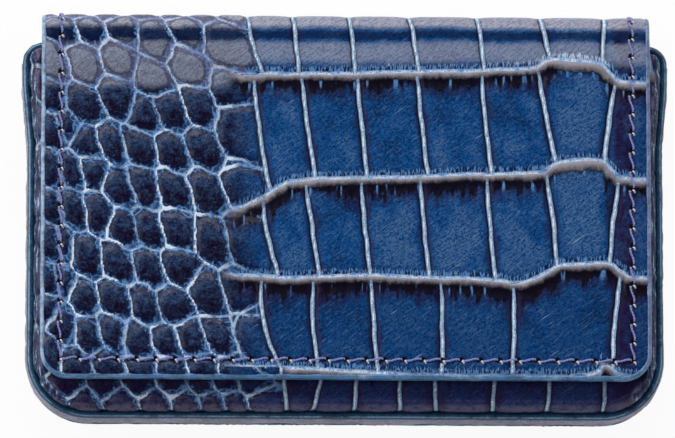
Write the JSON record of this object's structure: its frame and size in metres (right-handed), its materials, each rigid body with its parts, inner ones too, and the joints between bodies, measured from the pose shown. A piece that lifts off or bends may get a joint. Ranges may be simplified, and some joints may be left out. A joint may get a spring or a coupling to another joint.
{
  "type": "business card case",
  "caption": "Slim flap-over case for business cards, in embossed leather over board, with a lined pocket, a gusset, piped edges and a hidden magnetic closure.",
  "frame": {"origin": "centre of the footprint, on the surface that the case lies on with its back down", "axes": "+X along the case's length, +Y towards the fold at its top, +Z out of its front, up from the surface"},
  "size_m": [0.105, 0.066, 0.0141],
  "materials": {
    "croc_leather": "glazed embossed calf, navy with lighter blue grooves",
    "edge_paint": "light blue edge paint, satin",
    "gusset_leather": "smooth leather, grey lilac blue",
    "piping_leather": "smooth leather, dark teal",
    "lining_leather": "fine grained lining leather, dark navy",
    "stiffener": "grey fibre board",
    "thread": "waxed thread, light lilac blue",
    "steel": "plain steel",
    "magnet": "nickel plated magnet"
  },
  "bodies": {
    "pocket": {"back_panel": "croc_leather", "back_board": "stiffener", "back_lining": "lining_leather", "back_edge_paint": "edge_paint", "back_piping": "piping_leather", "back_stitching": "thread", "gusset": "gusset_leather", "gusset_lining": "lining_leather", "gusset_binding_left": "piping_leather", "gusset_binding_right": "piping_leather", "front_piping": "piping_leather", "front_panel": "croc_leather", "front_board": "stiffener", "front_lining": "lining_leather", "closure_plate": "steel", "mouth_stitching": "thread"},
    "spine": {"spine_leather": "croc_leather", "spine_board": "stiffener", "spine_lining": "lining_leather", "spine_edge_paint": "edge_paint", "spine_stitching": "thread"},
    "flap": {"flap_leather": "croc_leather", "flap_board": "stiffener", "flap_lining": "lining_leather", "flap_magnet": "magnet", "flap_edge_paint": "edge_paint", "flap_stitching": "thread"}
  },
  "joints": [
    {"name": "spine_fold", "type": "hinge", "parent": "pocket", "child": "spine", "pos_m": [0, 0.03206, 0.00094], "axis": [-1, 0, 0], "range_deg": [0, 90]},
    {"name": "flap_fold", "type": "hinge", "parent": "spine", "child": "flap", "pos_m": [0, 0.03206, 0.01316], "axis": [-1, 0, 0], "range_deg": [0, 90]}
  ]
}
